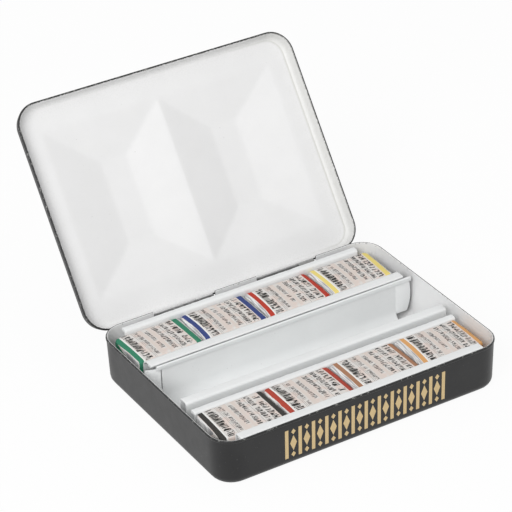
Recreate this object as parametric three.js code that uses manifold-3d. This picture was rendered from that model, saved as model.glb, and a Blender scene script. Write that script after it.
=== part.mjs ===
// A hinged watercolour paint box: an enamelled sheet-metal tin whose lid is pressed into two mixing
// wells, a folded insert with two pan holders round a brush channel, and eight wrapped full pans.
// Millimetres, +X to the right, +Y back to the hinges, +Z up; the origin is the middle of the underside.
import * as THREE from "three";
import { mergeVertices } from "three/addons/utils/BufferGeometryUtils.js";
import Module from "manifold-3d";

const wasm = await Module();
wasm.setup();

// Sheet metal and clearances
const sheet = 0.5;                 // coated tinplate of the tin, lid and insert
const fitGap = 0.3;                // between pieces that seat on or beside each other
const weld = 0.1;                  // how far two folds of one piece sink into each other
const overrun = 1;                 // how far a cutting body reaches past what it cuts

// Wrapped full pans
const pansPerRow = 4;
const panLength = 29.6;
const panDepth = 20.9;
const panHeight = 10.2;
const panGap = 0.6;                // between neighbours in a row
const panPlay = 0.4;               // between a pan and each wall of its holder
const backRowShift = -0.8;         // the rows have slid a little to the left
const frontRowShift = -0.6;
const rowEnd = 4.9;                // from the end of a centred row to the side of the tin
const paper = 0.3;                 // wrapper thickness
const wrapEdge = 1.0;              // rounding along the wrapper's long edges
const wrapCorner = 1.8;            // rounding of the wrapper's upright corners
const wrapEnd = 0.5;               // and of its level end edges
const endFold = 2.6;               // how far the folded ends reach in
const tubWall = 0.9;
const tubFloor = 1.1;
const tubCorner = 2.4;
const tubDraft = 0.6;
const cakeDrop = 1.2;              // from the tub's brim down to the paint
const cakeCrown = 0.4;             // the paint stands a little higher in its middle

// Widths across the box, from the front to the back
const frontRail = 4.5;
const rowRail = 3.1;
const trough = 3.4;
const ridge = 4.8;
const brushWidth = 23.7;
const wideRail = 6.4;
const backRail = 3.1;
const backSpace = 2.3;             // behind the insert, in front of the hinges

// Heights and bends of the insert
const panDrop = 1.65;              // the pans lie this far below the rails
const ridgeDrop = 0.9;
const hemDrop = 0.4;
const hem = 1.2;                   // thickness of a folded edge
const hemWidth = 2.4;
const lipHem = 1.0;                // thickness of the fold on the brush channel's back wall
const wideBend = 3.0;
const smallBend = 0.9;
const brushBend = 6.0;
const footFlange = 2.6;

// How far the ends of the insert's folds stay from the tin's sides
const outerRailInset = 9.6;
const wideRailInset = 5.6;
const rowRailInset = 4.6;
const channelFloorInset = 13.5;
const channelWallInset = 9.3;

// Spring tabs at the ends of the brush channel's back wall
const tabTopDrop = 3.1;            // below the rim
const tabFootRise = 5.3;           // above the table
const tabTopInset = 3.4;           // free edge to the tin's side, at the top
const tabFootInset = 3.0;
const tabAngle = 20;               // the left tab is bent back by this, in degrees
const wallSkirt = 7.4;             // the wall's ends stop this far above the table

// The base tin
const baseHeight = 20.9;
const cornerRadius = 10;
const footRadius = 3.5;
const wallDraft = 0.5;
const beadProud = 0.3;
const beadHeight = 1.2;

// The lid, measured in its closed place
const lidHeight = 5.9;
const lidEdgeRadius = 2.6;
const lidDraft = 0.3;
const openAngle = 126.2;           // degrees from closed to open
const wellDepth = 3.9;
const wellSideBorder = 10.9;
const wellBackBorder = 12.9;
const wellFrontBorder = 12.4;
const wellFloorWidth = 12.0;
const wellFloorLength = 35.3;
const wellFloorShift = 0.8;        // the floors lie this much nearer the middle of the lid
const wellDrop = 0.2;              // how far the wells' cutting bodies reach below the border

// Hinges
const hingeBehind = 0.95;          // axis behind the tin's back
const hingeBelow = 3.6;            // axis below the rim
const pinRadius = 0.8;
const hingeCentres = [-24.7, 23.9];
const lidKnuckle = 20.5;
const baseKnuckle = 7.5;
const knuckleGap = 0.5;

// Smoothness, in segments
const cornerSegments = 7;
const edgeSegments = 4;
const bendSegments = 5;
const roundSegments = 20;
const pinSegments = 16;
const wrapperSegments = 2;
const tubSegments = 3;

// Shares of a bead, a fold or a corner
const beadRoundShare = 0.25;       // of a bead's height, taken by its rounding above and below
const foldRoundShare = 0.3;        // of a fold's rounding, left where its middle cuts the corner
const leastCornerShare = 0.25;     // of a corner's radius, kept where a ring is inset by more
const crownShare = 0.25;           // of the paint's crown, still to rise over its outer slope

// Worked out from the values above
const rowLength = pansPerRow * panLength + (pansPerRow - 1) * panGap;
const tinWidth = rowLength + 2 * rowEnd;
const channel = panDepth + 2 * panPlay;
const rimStack = beadProud + sheet;
const tinDepth = 2 * (rimStack + fitGap) + frontRail + 2 * channel + rowRail + trough + ridge
  + brushWidth + sheet + wideRail + backRail + backSpace;
const halfWidth = tinWidth / 2;
const tinFront = -tinDepth / 2;
const tinBack = tinDepth / 2;
const frontRailEdge = tinFront + rimStack + fitGap;
const frontRowFace = frontRailEdge + frontRail;
const frontRowBack = frontRowFace + channel;
const rowRailEdge = frontRowBack + rowRail;
const ridgeFront = rowRailEdge + trough;
const ridgeBack = ridgeFront + ridge;
const brushBack = ridgeBack + brushWidth;
const wideRailEdge = brushBack + sheet + fitGap;
const backRowFace = wideRailEdge + wideRail;
const backRowBack = backRowFace + channel;
const backRailEdge = backRowBack + backRail;
const railTop = baseHeight;
const panTop = railTop - panDrop;
const panBottom = panTop - panHeight;
const shelfTop = panBottom - fitGap;
const footLevel = sheet + fitGap;
const hingeY = tinBack + hingeBehind;
const hingeZ = baseHeight - hingeBelow;
const curlInner = pinRadius + fitGap;
const curlOuter = curlInner + sheet;
const notchWidth = lidKnuckle + baseKnuckle + 2 * knuckleGap;
const lidRim = baseHeight + fitGap;
const degrees = Math.PI / 180;

// Geometry helpers

function turnOut(geometry) {
  const place = geometry.attributes.position;
  const index = geometry.index.array;
  const [a, b, c] = [new THREE.Vector3(), new THREE.Vector3(), new THREE.Vector3()];
  let volume = 0;
  for (let i = 0; i < index.length; i += 3) {
    a.fromBufferAttribute(place, index[i]);
    b.fromBufferAttribute(place, index[i + 1]);
    c.fromBufferAttribute(place, index[i + 2]);
    volume += a.dot(b.cross(c));
  }
  if (volume < 0) {
    for (let i = 0; i < index.length; i += 3) {
      [index[i + 1], index[i + 2]] = [index[i + 2], index[i + 1]];
    }
  }
  return geometry;
}

// Joins rings of equally many points. Closed, the last ring joins the first; else both ends are capped.
function loft(rings, closed = false) {
  const count = rings[0].length;
  const positions = rings.flat().flatMap((point) => point.toArray());
  const index = [];
  const bands = closed ? rings.length : rings.length - 1;
  for (let r = 0; r < bands; r++) {
    const low = r * count;
    const high = ((r + 1) % rings.length) * count;
    for (let i = 0; i < count; i++) {
      const j = (i + 1) % count;
      index.push(low + i, low + j, high + j, low + i, high + j, high + i);
    }
  }
  if (!closed) {
    const last = (rings.length - 1) * count;
    for (let i = 1; i < count - 1; i++) {
      index.push(0, i + 1, i, last, last + i, last + i + 1);
    }
  }
  const geometry = new THREE.BufferGeometry();
  geometry.setAttribute("position", new THREE.Float32BufferAttribute(positions, 3));
  geometry.setIndex(index);
  return turnOut(geometry);
}

// A rounded rectangle as [u, v] pairs, anticlockwise
function roundedOutline(width, depth, radius, segments) {
  const outline = [];
  const corners = [[1, 1], [-1, 1], [-1, -1], [1, -1]];
  corners.forEach(([sideU, sideV], quarter) => {
    for (let i = 0; i <= segments; i++) {
      const angle = (quarter + i / segments) * Math.PI / 2;
      const u = sideU * (width / 2 - radius) + radius * Math.cos(angle);
      const v = sideV * (depth / 2 - radius) + radius * Math.sin(angle);
      outline.push([u, v]);
    }
  });
  return outline;
}

// A level ring of a tin, inset from its outline
function tinRing(inset, z) {
  const outline = roundedOutline(tinWidth - 2 * inset, tinDepth - 2 * inset, cornerRadius - inset,
    cornerSegments);
  return outline.map(([x, y]) => new THREE.Vector3(x, y, z));
}

// Quarter-round steps between two directions, as [sine, cosine] shares of the radius
function quarterShares(segments) {
  return Array.from({ length: segments + 1 }, (_, i) => {
    const angle = i / segments * Math.PI / 2;
    return [Math.sin(angle), Math.cos(angle)];
  });
}

function solid(geometry) {
  const bare = geometry.clone();
  bare.deleteAttribute("normal");
  bare.deleteAttribute("uv");
  const merged = mergeVertices(bare);
  return new wasm.Manifold(new wasm.Mesh({
    numProp: 3,
    vertProperties: new Float32Array(merged.attributes.position.array),
    triVerts: new Uint32Array(merged.index.array),
  }));
}

function geometryOf(body) {
  const mesh = body.getMesh();
  const geometry = new THREE.BufferGeometry();
  geometry.setAttribute("position", new THREE.BufferAttribute(mesh.vertProperties, 3));
  geometry.setIndex(new THREE.BufferAttribute(mesh.triVerts, 1));
  return geometry;
}

// A section drawn in Y and Z, pushed along X
const alongX = new THREE.Matrix4().makeBasis(
  new THREE.Vector3(0, 1, 0), new THREE.Vector3(0, 0, 1), new THREE.Vector3(1, 0, 0));

function pushed(shape, fromX, toX) {
  const geometry = new THREE.ExtrudeGeometry(shape, {
    depth: toX - fromX, bevelEnabled: false, curveSegments: bendSegments, steps: 1,
  });
  return solid(geometry.applyMatrix4(alongX).translate(fromX, 0, 0));
}

function box(fromX, toX, fromY, toY, fromZ, toZ) {
  const geometry = new THREE.BoxGeometry(toX - fromX, toY - fromY, toZ - fromZ);
  geometry.translate((fromX + toX) / 2, (fromY + toY) / 2, (fromZ + toZ) / 2);
  return solid(geometry);
}

// Rounds the corners of a line of [y, z, bend radius]
function bentLine(corners) {
  const line = [];
  corners.forEach(([y, z, radius = 0], i) => {
    const corner = new THREE.Vector2(y, z);
    if (radius === 0) {
      line.push(corner);
      return;
    }
    const before = new THREE.Vector2(...corners[i - 1].slice(0, 2)).sub(corner).normalize();
    const after = new THREE.Vector2(...corners[i + 1].slice(0, 2)).sub(corner).normalize();
    const half = Math.acos(before.dot(after)) / 2;
    const middle = before.clone().add(after).normalize().multiplyScalar(radius / Math.sin(half)).add(corner);
    const start = corner.clone().addScaledVector(before, radius / Math.tan(half)).sub(middle);
    const turn = Math.sign(before.cross(after)) * (2 * half - Math.PI);
    for (let s = 0; s <= bendSegments; s++) {
      line.push(start.clone().rotateAround(new THREE.Vector2(), turn * s / bendSegments).add(middle));
    }
  });
  return line;
}

// A strip of sheet folded along a line: half its thickness lies on each side
function foldedSection(corners) {
  const line = bentLine(corners);
  const sides = [[], []];
  line.forEach((point, i) => {
    const into = (i > 0 ? point.clone().sub(line[i - 1]) : line[1].clone().sub(point)).normalize();
    const out = (i < line.length - 1 ? line[i + 1].clone().sub(point) : into.clone()).normalize();
    const along = into.add(out).normalize();
    const reach = sheet / 2 / Math.abs(along.dot(out));
    const across = new THREE.Vector2(-along.y, along.x).multiplyScalar(reach);
    sides[0].push(point.clone().add(across));
    sides[1].unshift(point.clone().sub(across));
  });
  return new THREE.Shape([...sides[0], ...sides[1]]);
}

// A folded-over edge: a flat bar with round long edges
function hemSection(fromY, toY, topZ, thickness) {
  const radius = thickness / 2;
  const shape = new THREE.Shape();
  shape.absarc(fromY + radius, topZ - radius, radius, Math.PI / 2, Math.PI * 1.5, false);
  shape.absarc(toY - radius, topZ - radius, radius, -Math.PI / 2, Math.PI / 2, false);
  return shape;
}

function joined(bodies) {
  return bodies.reduce((whole, body) => whole.add(body));
}

// Materials

function finish(color, roughness, metalness = 0) {
  return new THREE.MeshStandardMaterial({ color, roughness, metalness });
}
const blackEnamel = finish(0x3a3a3b, 0.45);
const whiteEnamel = finish(0xe9eaea, 0.35);
const steel = finish(0x9a9c9e, 0.35, 1);
const wrapperPaper = finish(0xe6ded8, 0.85);
const tubPlastic = finish(0xf2f2ee, 0.5);
const paintColors = [0x2c8a62, 0x33479b, 0xc23a2a, 0xe9cf55, 0x34322f, 0xa8392a, 0x9a6a4c, 0xd98f3c];

const paintBox = new THREE.Group();
paintBox.name = "paint_box";

function addNode(name, geometry, material, parent = paintBox) {
  const mesh = new THREE.Mesh(geometry, material);
  mesh.name = name;
  parent.add(mesh);
  return mesh;
}

// Base tin: a drawn tray with a beaded rim, two windows in its back wall and a knuckle in each

function baseRings() {
  const wallTop = baseHeight - beadHeight;
  const wallFoot = beadProud + wallDraft;
  const innerFoot = footRadius - sheet;
  const beadRound = beadHeight * beadRoundShare;
  const rings = [];
  for (const [rise, run] of quarterShares(edgeSegments)) {
    rings.push(tinRing(wallFoot + footRadius * (1 - rise), footRadius * (1 - run)));
  }
  rings.push(tinRing(beadProud, wallTop));
  rings.push(tinRing(0, wallTop + beadRound));
  rings.push(tinRing(0, baseHeight - beadRound));
  rings.push(tinRing(beadProud, baseHeight));
  rings.push(tinRing(rimStack - beadRound, baseHeight));
  rings.push(tinRing(rimStack, baseHeight - beadRound));
  for (const [rise, run] of quarterShares(edgeSegments).reverse()) {
    rings.push(tinRing(wallFoot + sheet + innerFoot * (1 - rise), footRadius - innerFoot * run));
  }
  return rings;
}

// Where each hinge's two knuckles lie along X: the long one belongs to the lid
function knuckles(centre) {
  const start = centre - notchWidth / 2;
  const lidStart = start + knuckleGap / 2;
  const baseStart = lidStart + lidKnuckle + knuckleGap;
  return {
    notch: [start, start + notchWidth],
    lid: [lidStart, lidStart + lidKnuckle],
    base: [baseStart, baseStart + baseKnuckle],
  };
}

// A curl round the pin, and the tongue that runs from its front up or down into a wall
function curl([fromX, toX], tongueEnd) {
  const ring = new THREE.Shape();
  ring.absarc(hingeY, hingeZ, curlOuter, 0, 2 * Math.PI, false);
  const bore = new THREE.Path();
  bore.absarc(hingeY, hingeZ, curlInner, 0, 2 * Math.PI, true);
  ring.holes.push(bore);
  const geometry = new THREE.ExtrudeGeometry(ring, {
    depth: toX - fromX, bevelEnabled: false, curveSegments: roundSegments, steps: 1,
  });
  const tongue = box(fromX, toX, hingeY - curlOuter, hingeY - curlInner, Math.min(hingeZ, tongueEnd),
    Math.max(hingeZ, tongueEnd));
  return solid(geometry.applyMatrix4(alongX).translate(fromX, 0, 0)).add(tongue);
}

function baseTin() {
  const wallInner = tinBack - rimStack;
  const notchFloor = hingeZ - curlOuter - fitGap;
  let body = solid(loft(baseRings()));
  for (const centre of hingeCentres) {
    const { notch, base } = knuckles(centre);
    body = body.subtract(box(...notch, wallInner - overrun, tinBack + overrun, notchFloor,
      baseHeight + overrun));
    body = body.add(curl(base, notchFloor - overrun));
  }
  return body;
}

addNode("base_tin", geometryOf(baseTin()), blackEnamel);

hingeCentres.forEach((centre, i) => {
  const { notch } = knuckles(centre);
  const pin = new THREE.CylinderGeometry(pinRadius, pinRadius, notchWidth - knuckleGap, pinSegments);
  pin.rotateZ(Math.PI / 2);
  const mesh = addNode(["hinge_pin_left", "hinge_pin_right"][i], pin, steel);
  mesh.position.set((notch[0] + notch[1]) / 2, hingeY, hingeZ);
});

// Lid: a shallow drawn cover with a folded rim and two hipped mixing wells pressed outwards

function lidRings() {
  const rim = lidRim;
  const wallTop = lidHeight - lidEdgeRadius;
  const innerRadius = lidEdgeRadius - sheet;
  const beadRound = beadHeight * beadRoundShare;
  const rings = [];
  for (const [rise, run] of quarterShares(edgeSegments)) {
    const inset = beadProud + lidDraft + lidEdgeRadius * (1 - rise);
    rings.push(tinRing(inset, rim + wallTop + lidEdgeRadius * run));
  }
  rings.push(tinRing(beadProud, rim + beadHeight));
  rings.push(tinRing(0, rim + beadHeight - beadRound));
  rings.push(tinRing(0, rim + beadRound));
  rings.push(tinRing(beadProud, rim));
  rings.push(tinRing(rimStack, rim));
  for (const [rise, run] of quarterShares(edgeSegments).reverse()) {
    const inset = rimStack + lidDraft + innerRadius * (1 - rise);
    rings.push(tinRing(inset, rim + wallTop + innerRadius * run));
  }
  return rings;
}

// A hipped well, from its brim in the border plane up to its floor, carried on below the brim
function wellBody(side, brimZ, below) {
  const outer = halfWidth - wellSideBorder;
  const brim = { x: [0, outer], y: [tinFront + wellFrontBorder, tinBack - wellBackBorder] };
  const middleX = outer / 2 - wellFloorShift;
  const middleY = (brim.y[0] + brim.y[1]) / 2;
  const floor = {
    x: [middleX - wellFloorWidth / 2, middleX + wellFloorWidth / 2],
    y: [middleY - wellFloorLength / 2, middleY + wellFloorLength / 2],
  };
  const share = 1 + below / wellDepth;
  const level = (x, y, z) => [[0, 0], [1, 0], [1, 1], [0, 1]].map(
    ([i, j]) => new THREE.Vector3(side * x[i], y[j], z));
  const spread = (top, low) => low.map((value, i) => top[i] + (value - top[i]) * share);
  return solid(loft([
    level(spread(floor.x, brim.x), spread(floor.y, brim.y), brimZ - below),
    level(floor.x, floor.y, brimZ + wellDepth),
  ]));
}

function lidShell() {
  const borderInside = lidRim + lidHeight - sheet;
  let body = solid(loft(lidRings()));
  for (const side of [-1, 1]) {
    body = body.add(wellBody(side, borderInside + sheet, sheet / 2));
  }
  for (const side of [-1, 1]) {
    body = body.subtract(wellBody(side, borderInside, wellDrop));
  }
  for (const centre of hingeCentres) {
    const { lid } = knuckles(centre);
    body = body.add(curl(lid, lidRim + beadHeight / 2));
  }
  return body;
}

const lidGroup = new THREE.Group();
lidGroup.position.set(0, hingeY, hingeZ);
lidGroup.rotation.x = -openAngle * degrees;
paintBox.add(lidGroup);
addNode("lid_shell", geometryOf(lidShell()).translate(0, -hingeY, -hingeZ), blackEnamel, lidGroup);

// Pan holders: two flanged walls over a folded shelf that stands on the tin's floor

function panHolder(front, back) {
  const legFoot = footLevel;
  const wallRail = (rail, side) => {
    const wall = rail.face + side * sheet / 2;
    const top = rail.top - sheet / 2;
    const edge = rail.face + side * (rail.width - hem / 2);
    return pushed(foldedSection([[edge, top], [wall, top, rail.bend], [wall, legFoot]]), -rail.half,
      rail.half);
  };
  const folded = (rail, side) => {
    const edge = rail.face + side * rail.width;
    const root = edge - side * hemWidth;
    return pushed(hemSection(Math.min(edge, root), Math.max(edge, root), rail.top, hem), -rail.half,
      rail.half);
  };
  const shelfLevel = shelfTop - sheet / 2;
  const [frontLeg, backLeg] = [front.face + sheet / 2 - weld, back.face - sheet / 2 + weld];
  const shelfHalf = Math.min(front.half, back.half);
  const shelf = pushed(foldedSection([[frontLeg, legFoot], [frontLeg, shelfLevel, smallBend],
    [backLeg, shelfLevel, smallBend], [backLeg, legFoot]]), -shelfHalf, shelfHalf);
  return joined([wallRail(front, -1), folded(front, -1), wallRail(back, 1), folded(back, 1), shelf]);
}

const backHolder = panHolder(
  { face: backRowFace, width: wideRail, top: railTop, half: halfWidth - wideRailInset, bend: wideBend },
  { face: backRowBack, width: backRail, top: railTop, half: halfWidth - outerRailInset, bend: smallBend });
addNode("pan_holder_back", geometryOf(backHolder), whiteEnamel);

const frontHolder = panHolder(
  { face: frontRowFace, width: frontRail, top: railTop, half: halfWidth - outerRailInset,
    bend: smallBend },
  { face: frontRowBack, width: rowRail, top: panTop, half: halfWidth - rowRailInset, bend: smallBend });
addNode("pan_holder_front", geometryOf(frontHolder), whiteEnamel);

// Brush channel: one folded trough with a hemmed back lip, a ridge in front and spring tabs at the ends

function channelTab(side) {
  const fromX = halfWidth - channelWallInset - weld;
  const top = baseHeight - tabTopDrop;
  const middle = (top + tabFootRise) / 2;
  const [topX, footX] = [halfWidth - tabTopInset, halfWidth - tabFootInset];
  const bulge = halfWidth - beadProud - wallDraft / 2 - sheet - fitGap;
  const outline = new THREE.Shape();
  outline.moveTo(fromX, tabFootRise);
  outline.lineTo(footX, tabFootRise);
  outline.quadraticCurveTo(2 * bulge - (topX + footX) / 2, middle, topX, top);
  outline.lineTo(fromX, top);
  const geometry = new THREE.ExtrudeGeometry(outline, {
    depth: sheet, bevelEnabled: false, curveSegments: bendSegments, steps: 1,
  });
  geometry.rotateX(Math.PI / 2).translate(-fromX, sheet, 0);
  if (side < 0) {
    geometry.rotateZ(tabAngle * degrees);
  }
  geometry.translate(fromX, brushBack, 0);
  return side < 0 ? solid(geometry).mirror([1, 0, 0]) : solid(geometry);
}

function brushChannel() {
  const floorHalf = halfWidth - channelFloorInset;
  const wallHalf = halfWidth - channelWallInset;
  const lipHalf = halfWidth - wideRailInset;
  const ridgeHalf = halfWidth - rowRailInset;
  const wall = brushBack + sheet / 2;
  const floor = footLevel + sheet / 2;
  const lipTop = railTop - hemDrop;
  const ridgeTop = railTop - ridgeDrop - sheet / 2;
  const [ridgeIn, ridgeOut] = [ridgeBack - sheet / 2, ridgeFront + sheet / 2];
  const over = [[ridgeIn, ridgeTop, smallBend], [ridgeOut, ridgeTop, smallBend]];
  const whole = foldedSection([[wall, lipTop - lipHem / 2], [wall, floor, brushBend],
    [ridgeIn, floor, brushBend], ...over, [ridgeOut, floor, smallBend],
    [ridgeOut - footFlange, floor]]);
  const ridgeEnds = foldedSection([[ridgeIn, wallSkirt], ...over, [ridgeOut, wallSkirt]]);
  const lip = hemSection(brushBack + sheet - lipHem, brushBack + sheet, lipTop, lipHem);
  return joined([
    pushed(whole, -floorHalf, floorHalf),
    pushed(ridgeEnds, -ridgeHalf, ridgeHalf),
    box(-wallHalf, wallHalf, brushBack, brushBack + sheet, wallSkirt, lipTop - lipHem / 2),
    pushed(lip, -lipHalf, lipHalf),
    channelTab(1),
    channelTab(-1),
  ]);
}
addNode("brush_channel", geometryOf(brushChannel()), whiteEnamel);

// Wrapped pans: a tub of paint inside a paper wrapper whose ends are folded in

function wrapRing(x, insetY, insetZ) {
  const radius = Math.max(wrapEdge - insetZ, wrapEdge * leastCornerShare);
  const outline = roundedOutline(panDepth - 2 * insetY, panHeight - 2 * insetZ, radius, wrapperSegments);
  return outline.map(([y, z]) => new THREE.Vector3(x, y, z));
}

function wrapper() {
  const half = panLength / 2;
  const cutCorner = wrapCorner * foldRoundShare;
  const outerEnd = [[half, endFold, endFold], [half, wrapCorner, wrapEnd],
    [half - cutCorner, cutCorner, wrapEnd * foldRoundShare], [half - wrapCorner, 0, 0]];
  const innerEnd = [[half - wrapCorner, paper, paper], [half - paper, wrapCorner, wrapEnd],
    [half - paper, endFold, endFold]];
  const rings = [
    ...outerEnd.map(([x, ...insets]) => wrapRing(x, ...insets)),
    ...outerEnd.toReversed().map(([x, ...insets]) => wrapRing(-x, ...insets)),
    ...innerEnd.toReversed().map(([x, ...insets]) => wrapRing(-x, ...insets)),
    ...innerEnd.map(([x, ...insets]) => wrapRing(x, ...insets)),
  ];
  return loft(rings, true);
}

function levelRing(length, depth, radius, z) {
  return roundedOutline(length, depth, radius, tubSegments).map(([x, y]) => new THREE.Vector3(x, y, z));
}

const tubSpace = paper + fitGap;
const tubLength = panLength - 2 * tubSpace;
const tubDepth = panDepth - 2 * tubSpace;
const tubHeight = panHeight - 2 * tubSpace;

function tub() {
  const ring = (inset, z) => levelRing(tubLength - 2 * inset, tubDepth - 2 * inset, tubCorner - inset, z);
  return loft([
    ring(tubDraft, 0),
    ring(0, tubHeight),
    ring(tubWall, tubHeight),
    ring(tubDraft + tubWall, tubFloor),
  ]);
}

function cake() {
  const wall = tubWall + fitGap;
  const ring = (inset, z) => levelRing(tubLength - 2 * inset, tubDepth - 2 * inset,
    Math.max(tubCorner - inset, tubCorner * leastCornerShare), z);
  const top = tubHeight - cakeDrop;
  return loft([
    ring(wall + tubDraft, tubFloor + fitGap),
    ring(wall + tubDraft / 2, top - cakeCrown),
    ring(wall + tubDraft + cakeCrown, top - cakeCrown * crownShare),
    ring(wall + tubDraft + tubWall + tubCorner, top),
  ]);
}

const rows = [
  { middle: (backRowFace + backRowBack) / 2, shift: backRowShift, first: 1 },
  { middle: (frontRowFace + frontRowBack) / 2, shift: frontRowShift, first: 1 + pansPerRow },
];
for (const { middle, shift, first } of rows) {
  for (let i = 0; i < pansPerRow; i++) {
    const number = first + i;
    const pan = new THREE.Group();
    const x = shift - rowLength / 2 + panLength / 2 + i * (panLength + panGap);
    pan.position.set(x, middle, panBottom);
    paintBox.add(pan);
    addNode(`wrapper_${number}`, wrapper(), wrapperPaper, pan).position.z = panHeight / 2;
    addNode(`pan_tub_${number}`, tub(), tubPlastic, pan).position.z = tubSpace;
    const paint = finish(paintColors[(number - 1) % paintColors.length], 0.6);
    addNode(`paint_cake_${number}`, cake(), paint, pan).position.z = tubSpace;
  }
}

export default paintBox;
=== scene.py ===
# An open watercolour paint box: enamelled tin, pressed lid, folded insert and eight wrapped pans
import math

import bmesh
import bpy
import numpy as np
from mathutils import Matrix, Vector, noise


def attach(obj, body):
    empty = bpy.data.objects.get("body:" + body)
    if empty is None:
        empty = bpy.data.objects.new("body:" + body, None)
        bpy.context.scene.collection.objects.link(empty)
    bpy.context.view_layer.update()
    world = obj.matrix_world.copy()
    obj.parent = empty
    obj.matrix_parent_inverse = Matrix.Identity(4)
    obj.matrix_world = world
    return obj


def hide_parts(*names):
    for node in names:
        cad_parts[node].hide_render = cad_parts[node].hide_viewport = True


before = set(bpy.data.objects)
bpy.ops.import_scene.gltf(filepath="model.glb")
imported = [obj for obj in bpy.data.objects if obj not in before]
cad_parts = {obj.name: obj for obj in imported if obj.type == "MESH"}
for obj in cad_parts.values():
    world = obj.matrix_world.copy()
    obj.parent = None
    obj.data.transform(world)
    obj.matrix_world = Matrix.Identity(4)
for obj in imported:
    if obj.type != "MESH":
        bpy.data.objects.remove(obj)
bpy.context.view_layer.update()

MM = 0.001

# Camera, fitted to the edges of the tin and the lid in the photograph
CAMERA_AT = Vector((-453.6, -750.2, 584.9)) * MM
CAMERA_AZIMUTH = math.radians(30.126)
CAMERA_ELEVATION = math.radians(30.980)
CAMERA_ROLL = math.radians(-2.280)
CAMERA_LENS = 184.85

# Light and floor: places and sizes in metres, power in watts
AMBIENT = 0.55
KEY_PLACE = (-1.2, -0.92, 1.17)
KEY_SIZE = 1.0
KEY_POWER = 24.3
FLOOR_HALF = 4.0
FLOOR_GLOW = 0.94
FLOOR_GREY = (0.9, 0.9, 0.9)

# The tin and lid, in millimetres, as the frame has them
SHEET = 0.5
HALF_SHEET = SHEET / 2
SKIN_GAP = 0.01
FIT_GAP = 0.3
TIN_WIDTH = 130.0
BASE_HEIGHT = 20.9
CORNER = 10.0
FOOT = 3.5
DRAFT = 0.5
BEAD_PROUD = 0.3
BEAD_HEIGHT = 1.2
HALF_BEAD = BEAD_HEIGHT / 2
RIM_STACK = BEAD_PROUD + SHEET
LID_HEIGHT = 5.9
LID_EDGE = 2.6
LID_DRAFT = 0.3
OPEN_ANGLE = math.radians(126.2)
HINGE_BEHIND = 0.95
HINGE_BELOW = 3.6
WELL_DEPTH = 3.9
WELL_SIDE = 10.9
WELL_BACK = 12.9
WELL_FRONT = 12.4
WELL_FLOOR = (12.0, 35.3)
WELL_FLOOR_SHIFT = 0.8
WELL_SOFT = 0.022
WELL_END_SHARE = -0.3

# Widths across the box, from the front to the back
FRONT_RAIL = 4.5
PAN_DEPTH = 20.9
PAN_PLAY = 0.4
ROW_RAIL = 3.1
TROUGH = 3.4
RIDGE = 4.8
BRUSH_WIDTH = 23.7
WIDE_RAIL = 6.4
BACK_RAIL = 3.1
BACK_SPACE = 2.3
CHANNEL = PAN_DEPTH + 2 * PAN_PLAY
TIN_DEPTH = (2 * (RIM_STACK + FIT_GAP) + FRONT_RAIL + 2 * CHANNEL + ROW_RAIL + TROUGH + RIDGE + BRUSH_WIDTH
             + SHEET + WIDE_RAIL + BACK_RAIL + BACK_SPACE)

TIN_FRONT = -TIN_DEPTH / 2
TIN_BACK = TIN_DEPTH / 2
HALF_WIDTH = TIN_WIDTH / 2
HINGE_Y = TIN_BACK + HINGE_BEHIND
HINGE_Z = BASE_HEIGHT - HINGE_BELOW
LID_RIM = BASE_HEIGHT + FIT_GAP
FRONT_ROW_FACE = TIN_FRONT + RIM_STACK + FIT_GAP + FRONT_RAIL
FRONT_ROW_BACK = FRONT_ROW_FACE + CHANNEL
RIDGE_FRONT = FRONT_ROW_BACK + ROW_RAIL + TROUGH
RIDGE_BACK = RIDGE_FRONT + RIDGE
BRUSH_BACK = RIDGE_BACK + BRUSH_WIDTH
BACK_ROW_FACE = BRUSH_BACK + SHEET + FIT_GAP + WIDE_RAIL
BACK_ROW_BACK = BACK_ROW_FACE + CHANNEL

# Heights and bends of the insert
RAIL_TOP = BASE_HEIGHT
PAN_DROP = 1.65
PAN_TOP = RAIL_TOP - PAN_DROP
RIDGE_DROP = 0.9
HEM_DROP = 0.65
HEM = 1.2
HEM_WIDTH = 2.4
LIP_HEM = 1.0
LIP_FOLD = 1.6
WIDE_BEND = 3.0
SMALL_BEND = 0.9
BRUSH_BEND = 6.0
FOOT_FLANGE = 2.6
FOOT_LEVEL = SHEET + FIT_GAP
OUTER_RAIL_HALF = HALF_WIDTH - 9.6
WIDE_RAIL_HALF = HALF_WIDTH - 5.6
ROW_RAIL_HALF = HALF_WIDTH - 4.6
CHANNEL_WALL_HALF = HALF_WIDTH - 10.0
LIP_REACH = (HALF_WIDTH - 7.6, HALF_WIDTH - 2.6)
TAB_TOP = BASE_HEIGHT - 2.6
TAB_FOOT = 4.4
TAB_REACH = (HALF_WIDTH - 3.3, HALF_WIDTH - 2.6, HALF_WIDTH - 4.3)
TAB_ANGLE = math.radians(20)
TAB_SET_BACK = 0.05
TAB_SLIT = 0.45
SLIT_FOOT = 8.9
WALL_SKIRT = 5.2

# Wrapped pans
PANS_PER_ROW = 4
PAN_LENGTH = 29.6
PAN_HEIGHT = 10.2
PAN_GAP = 0.6
PAN_BOTTOM = PAN_TOP - PAN_HEIGHT
SHELF_LEVEL = PAN_BOTTOM - FIT_GAP - HALF_SHEET
BACK_ROW_SHIFT = -0.8
FRONT_ROW_SHIFT = -0.6
ROW_LENGTH = PANS_PER_ROW * PAN_LENGTH + (PANS_PER_ROW - 1) * PAN_GAP

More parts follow.
